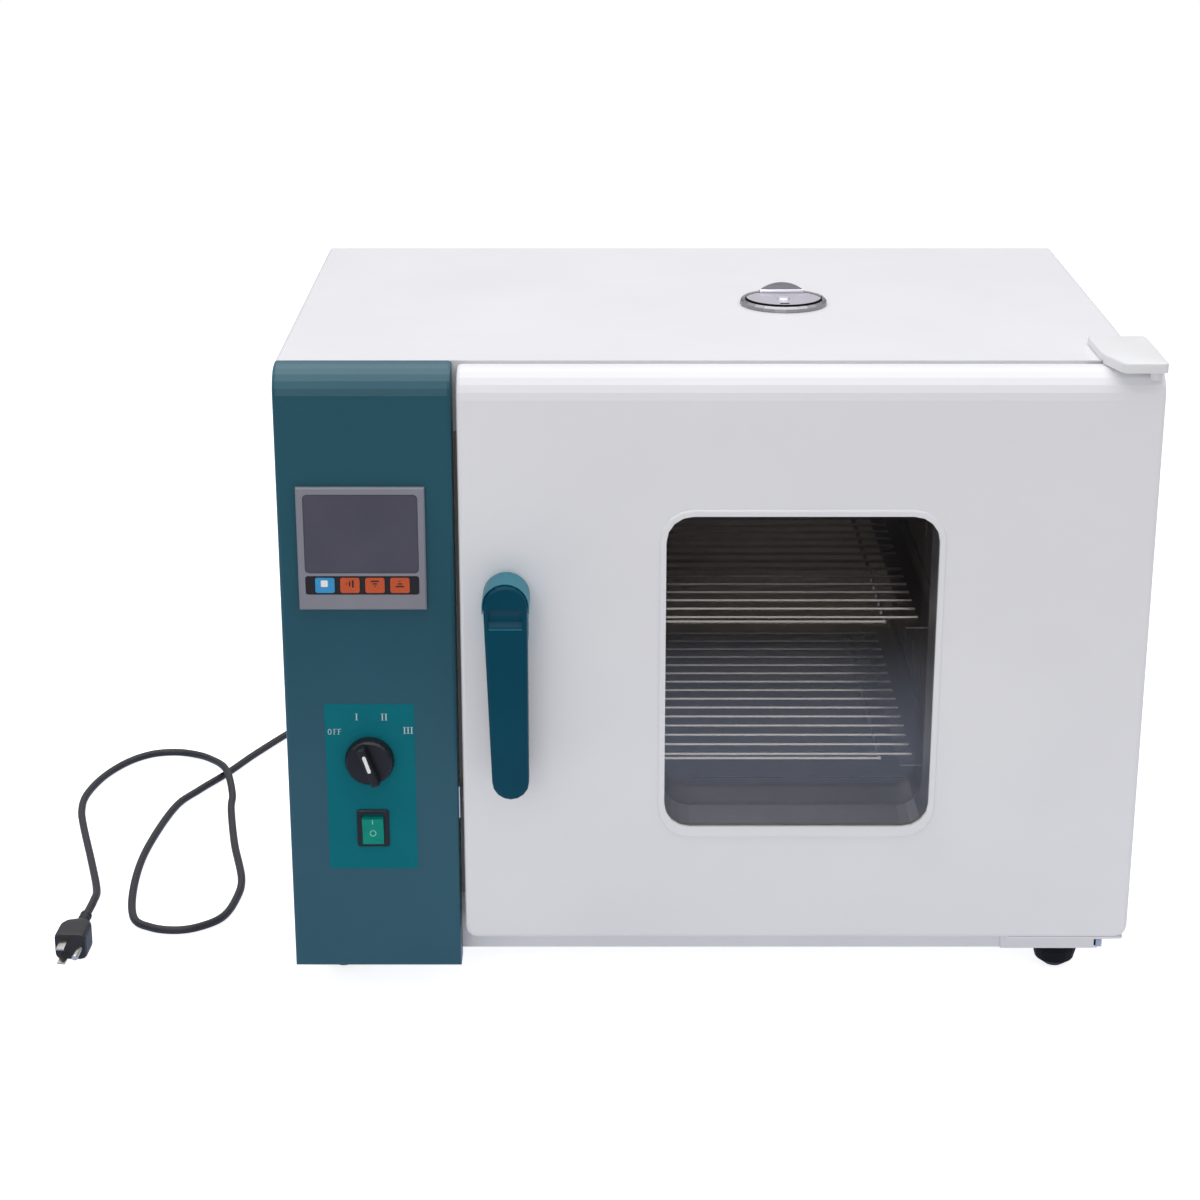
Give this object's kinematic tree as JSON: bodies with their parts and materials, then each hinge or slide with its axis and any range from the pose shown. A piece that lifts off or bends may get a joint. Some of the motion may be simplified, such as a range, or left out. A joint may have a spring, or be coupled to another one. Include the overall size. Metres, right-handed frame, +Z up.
{
  "type": "convection drying oven",
  "caption": "Bench drying oven with a side control panel, glazed hinged door, wire shelves, side fan and top vent.",
  "frame": {"origin": "on the bench, at the middle of the space the oven takes without its mains lead", "axes": "+X to the door's hinge side, -Y out of the door, +Z up"},
  "size_m": [0.9003, 0.6242, 0.5179],
  "materials": {
    "white_paint": "satin",
    "teal_paint": "satin",
    "black_paint": "matte",
    "galvanised_steel": "matte",
    "stainless_steel": "satin",
    "oxidised_steel": "matte",
    "aluminium": "satin",
    "chrome": "polished",
    "zinc_plate": "satin",
    "mineral_wool": "matte",
    "black_rubber": "matte",
    "black_pvc": "matte",
    "grey_silicone": "matte",
    "white_plastic": "satin",
    "black_plastic": "satin",
    "grey_plastic": "matte",
    "teal_plastic": "gloss",
    "green_plastic": "gloss",
    "blue_key": "matte",
    "orange_key": "matte",
    "smoked_window": "gloss",
    "clear_glass": "gloss"
  },
  "bodies": {
    "cabinet": {"cabinet_shell": "white_paint", "base_plate": "white_paint", "back_panel": "white_paint", "front_frame": "white_paint", "control_panel": "teal_paint", "partition_wall": "galvanised_steel", "inner_liner": "stainless_steel", "floor_plate": "stainless_steel", "duct_panel": "stainless_steel", "return_panel": "stainless_steel", "insulation_top": "mineral_wool", "insulation_bottom": "mineral_wool", "insulation_back": "mineral_wool", "insulation_right": "mineral_wool", "insulation_left": "mineral_wool", "heater_tube": "oxidised_steel", "temperature_probe": "stainless_steel", "fan_motor": "black_paint", "upper_left_rail": "stainless_steel", "upper_right_rail": "stainless_steel", "lower_left_rail": "stainless_steel", "lower_right_rail": "stainless_steel", "vent_pipe": "aluminium", "foot_front_left": "black_rubber", "foot_rear_left": "black_rubber", "foot_front_right": "black_rubber", "foot_rear_right": "black_rubber", "upper_hinge": "zinc_plate", "lower_hinge": "zinc_plate", "hinge_cover": "white_plastic", "striker_plate": "chrome", "terminal_block": "white_plastic", "cord_gland": "black_plastic", "power_cord": "black_pvc", "plug": "black_pvc", "controller_bezel": "grey_plastic", "controller_body": "black_plastic", "display_window": "smoked_window", "rotary_switch": "black_plastic", "rocker_housing": "black_plastic"},
    "door": {"door_shell": "white_paint", "door_inner_panel": "stainless_steel", "window_frame": "aluminium", "outer_glass": "clear_glass", "inner_glass": "clear_glass", "door_insulation": "mineral_wool", "door_gasket": "grey_silicone", "handle_base": "teal_plastic"},
    "handle": {"handle_lever": "teal_plastic"},
    "latch": {"latch_bolt": "stainless_steel"},
    "knob": {"fan_knob": "black_plastic"},
    "power_rocker": {"rocker": "green_plastic"},
    "set_key": {"key_set": "blue_key"},
    "shift_key": {"key_shift": "orange_key"},
    "down_key": {"key_down": "orange_key"},
    "up_key": {"key_up": "orange_key"},
    "shutter": {"vent_disc": "aluminium"},
    "fan": {"fan_impeller": "aluminium"},
    "shelf_upper": {"upper_shelf": "chrome"},
    "shelf_lower": {"lower_shelf": "chrome"}
  },
  "joints": [
    {"name": "door_swing", "type": "hinge", "parent": "cabinet", "child": "door", "pos_m": [0.32125, -0.1955, 0.2772], "axis": [0, 0, 1], "range_deg": [0, 110]},
    {"name": "handle_pull", "type": "hinge", "parent": "door", "child": "handle", "pos_m": [-0.15775, -0.224, 0.3385], "axis": [-1, 0, 0], "range_deg": [0, 25], "stiffness_Nm_per_rad": 1.2},
    {"name": "latch_slide", "type": "slide", "parent": "door", "child": "latch", "axis": [1, 0, 0], "range_m": [0, 0.008]},
    {"name": "knob_turn", "type": "hinge", "parent": "cabinet", "child": "knob", "pos_m": [-0.2649, -0.2028, 0.199], "axis": [0, 1, 0], "range_deg": [-31, 70]},
    {"name": "rocker_tip", "type": "hinge", "parent": "cabinet", "child": "power_rocker", "pos_m": [-0.2638, -0.1988, 0.1416], "axis": [-1, 0, 0], "range_deg": [0, 16]},
    {"name": "set_press", "type": "slide", "parent": "cabinet", "child": "set_key", "axis": [0, 1, 0], "range_m": [0, 0.0004], "stiffness_N_per_m": 400},
    {"name": "shift_press", "type": "slide", "parent": "cabinet", "child": "shift_key", "axis": [0, 1, 0], "range_m": [0, 0.0004], "stiffness_N_per_m": 400},
    {"name": "down_press", "type": "slide", "parent": "cabinet", "child": "down_key", "axis": [0, 1, 0], "range_m": [0, 0.0004], "stiffness_N_per_m": 400},
    {"name": "up_press", "type": "slide", "parent": "cabinet", "child": "up_key", "axis": [0, 1, 0], "range_m": [0, 0.0004], "stiffness_N_per_m": 400},
    {"name": "shutter_turn", "type": "hinge", "parent": "cabinet", "child": "shutter", "pos_m": [0.06125, 0.0115, 0.51185], "axis": [0, 0, 1], "range_deg": [-90, 90]},
    {"name": "fan_spin", "type": "hinge", "parent": "cabinet", "child": "fan", "pos_m": [-0.16125, 0.0095, 0.274], "axis": [1, 0, 0], "continuous": true},
    {"name": "upper_shelf_slide", "type": "slide", "parent": "cabinet", "child": "shelf_upper", "axis": [0, -1, 0], "range_m": [0, 0.012]},
    {"name": "lower_shelf_slide", "type": "slide", "parent": "cabinet", "child": "shelf_lower", "axis": [0, -1, 0], "range_m": [0, 0.012]}
  ],
  "couplings": [
    {"joint": "latch_slide", "follows": "handle_pull", "m_per_rad": 0.018}
  ]
}
